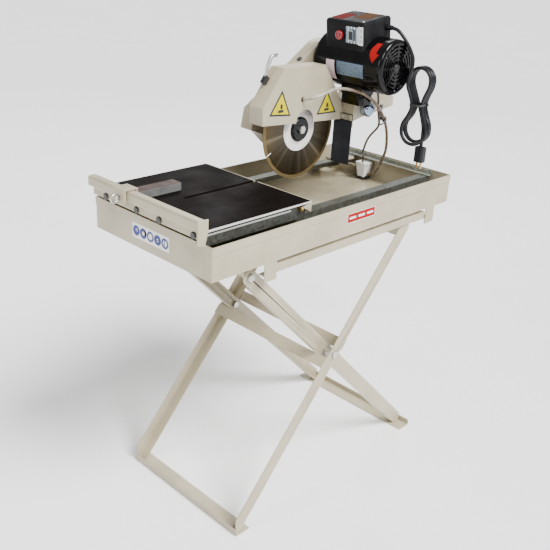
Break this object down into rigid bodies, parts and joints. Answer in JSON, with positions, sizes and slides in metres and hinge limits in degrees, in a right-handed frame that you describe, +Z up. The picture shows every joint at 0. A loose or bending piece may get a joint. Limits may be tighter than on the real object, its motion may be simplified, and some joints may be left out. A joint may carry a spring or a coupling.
{
  "type": "masonry_saw",
  "caption": "Wet masonry saw on a folding steel stand: water tub, rolling cutting table with backstop and rip guide, and a tilting belt-driven cutting head with motor, blade guard and hose.",
  "frame": {"origin": "on the floor, below the middle of the machine's own length and width, cords left out", "axes": "+X toward the motor end, -X the operator's end, +Y across to the belt side, +Z up"},
  "size_m": [0.946, 0.4681, 1.2405],
  "materials": {
    "cream_paint": "semi-gloss, slightly orange-peeled enamel",
    "black_paint": "gloss enamel",
    "zinc_steel": "dull zinc plate",
    "bright_steel": "machined",
    "blade_steel": "turned, bronze tinted",
    "diamond_rim": "sintered grit",
    "aluminium": "extruded, bright edge",
    "cast_iron": "as cast",
    "brass": "turned, slightly tarnished",
    "black_rubber": "matte",
    "table_rubber": "fine ribs, dusty",
    "black_plastic": "fine texture",
    "white_plastic": "moulded",
    "red_plastic": "moulded",
    "grey_plastic": "slightly worn",
    "clear_vinyl": "translucent, glossy, tanned by age",
    "brown_vinyl": "glossy cord sheath"
  },
  "bodies": {
    "base": {"tub": "cream_paint", "tub_supports": "cream_paint", "cart_rails": "zinc_steel", "rail_cross_bars": "zinc_steel", "head_column": "cream_paint", "pivot_pin": "bright_steel", "pump": "white_plastic", "water_hose": "clear_vinyl", "pump_cord": "brown_vinyl"},
    "cart": {"table_mat": "table_rubber", "table_tray": "cream_paint", "table_trims": "aluminium", "table_channels": "zinc_steel", "backstop": "cream_paint", "backstop_bolts": "bright_steel"},
    "front_axle": {"front_wheels": "brass"},
    "rear_axle": {"rear_wheels": "brass"},
    "guide": {"rip_guide": "grey_plastic", "guide_clamp": "bright_steel"},
    "guide_screw": {"clamp_screw": "bright_steel"},
    "head": {"head_arm": "cream_paint", "bearing_housing": "cast_iron", "arbor_bearings": "bright_steel", "v_belt": "black_rubber", "belt_guard_plate": "cream_paint", "belt_guard_cover": "cream_paint", "belt_guard_bolts": "bright_steel", "blade_guard": "cream_paint", "lift_rod": "bright_steel", "lift_block": "black_plastic", "splash_flap": "black_rubber", "flap_clamp": "bright_steel", "hose_clip": "black_plastic", "motor_shell": "black_paint", "motor_front_bell": "black_paint", "motor_fan_grille": "black_paint", "stator": "cast_iron", "motor_base": "black_paint", "motor_cradle": "black_paint", "switch_box": "black_paint", "switch_plate": "bright_steel", "strain_relief": "black_rubber", "power_cord": "black_rubber", "cord_hank": "black_rubber", "power_plug": "black_rubber"},
    "blade": {"arbor_shaft": "bright_steel", "blade_flanges": "black_paint", "blade_core": "blade_steel", "blade_rim": "diamond_rim", "arbor_pulley": "cast_iron"},
    "motor_rotor": {"rotor": "bright_steel", "motor_pulley": "cast_iron"},
    "stop": {"stop_button": "red_plastic"},
    "start": {"start_button": "black_plastic"},
    "tilt_lock": {"lock_knob": "bright_steel"},
    "inner_frame": {"inner_legs": "cream_paint", "inner_cross_bars": "cream_paint", "leg_pivots": "bright_steel"},
    "outer_frame": {"outer_legs": "cream_paint", "outer_cross_bars": "cream_paint"}
  },
  "joints": [
    {"name": "cart_slide", "type": "slide", "parent": "base", "child": "cart", "axis": [1, 0, 0], "range_m": [0, 0.285]},
    {"name": "front_wheel_spin", "type": "hinge", "parent": "cart", "child": "front_axle", "pos_m": [-0.131, 0, 0.82], "axis": [0, 1, 0], "continuous": true},
    {"name": "rear_wheel_spin", "type": "hinge", "parent": "cart", "child": "rear_axle", "pos_m": [-0.366, 0, 0.82], "axis": [0, 1, 0], "continuous": true},
    {"name": "guide_slide", "type": "slide", "parent": "cart", "child": "guide", "axis": [0, 1, 0], "range_m": [-0.04, 0.095]},
    {"name": "guide_screw_turn", "type": "hinge", "parent": "guide", "child": "guide_screw", "pos_m": [-0.449, 0.064, 0.861], "axis": [1, 0, 0], "range_deg": [-90, 90]},
    {"name": "head_tilt", "type": "hinge", "parent": "base", "child": "head", "pos_m": [0.24, 0, 1.003], "axis": [0, 1, 0], "range_deg": [-3, 20], "deforming": ["water_hose", "pump_cord"]},
    {"name": "blade_spin", "type": "hinge", "parent": "head", "child": "blade", "pos_m": [0.057, 0, 0.961], "axis": [0, 1, 0], "continuous": true},
    {"name": "rotor_spin", "type": "hinge", "parent": "head", "child": "motor_rotor", "pos_m": [0.216, 0, 1.125], "axis": [0, 1, 0], "continuous": true},
    {"name": "stop_press", "type": "slide", "parent": "head", "child": "stop", "axis": [0.9903, 0, 0.1392], "range_m": [0, 0.004], "stiffness_N_per_m": 600, "springref_m": -0.002},
    {"name": "start_press", "type": "slide", "parent": "head", "child": "start", "axis": [0.9903, 0, 0.1392], "range_m": [0, 0.003], "stiffness_N_per_m": 600, "springref_m": -0.002},
    {"name": "tilt_lock_turn", "type": "hinge", "parent": "base", "child": "tilt_lock", "pos_m": [0.24, -0.07, 1.003], "axis": [0, 1, 0], "range_deg": [0, 90]},
    {"name": "stand_fold", "type": "hinge", "parent": "base", "child": "inner_frame", "pos_m": [-0.27116, 0, 0.70216], "axis": [0, 1, 0], "range_deg": [0, 39]},
    {"name": "outer_fold", "type": "hinge", "parent": "inner_frame", "child": "outer_frame", "pos_m": [0.023, 0, 0.408], "axis": [0, 1, 0], "range_deg": [-75.5, 0]}
  ],
  "couplings": [
    {"joint": "front_wheel_spin", "follows": "cart_slide", "rad_per_m": 55.556},
    {"joint": "rear_wheel_spin", "follows": "cart_slide", "rad_per_m": 55.556},
    {"joint": "blade_spin", "follows": "rotor_spin", "ratio": 0.8421},
    {"joint": "outer_fold", "follows": "stand_fold", "ratio": -1.9358}
  ]
}
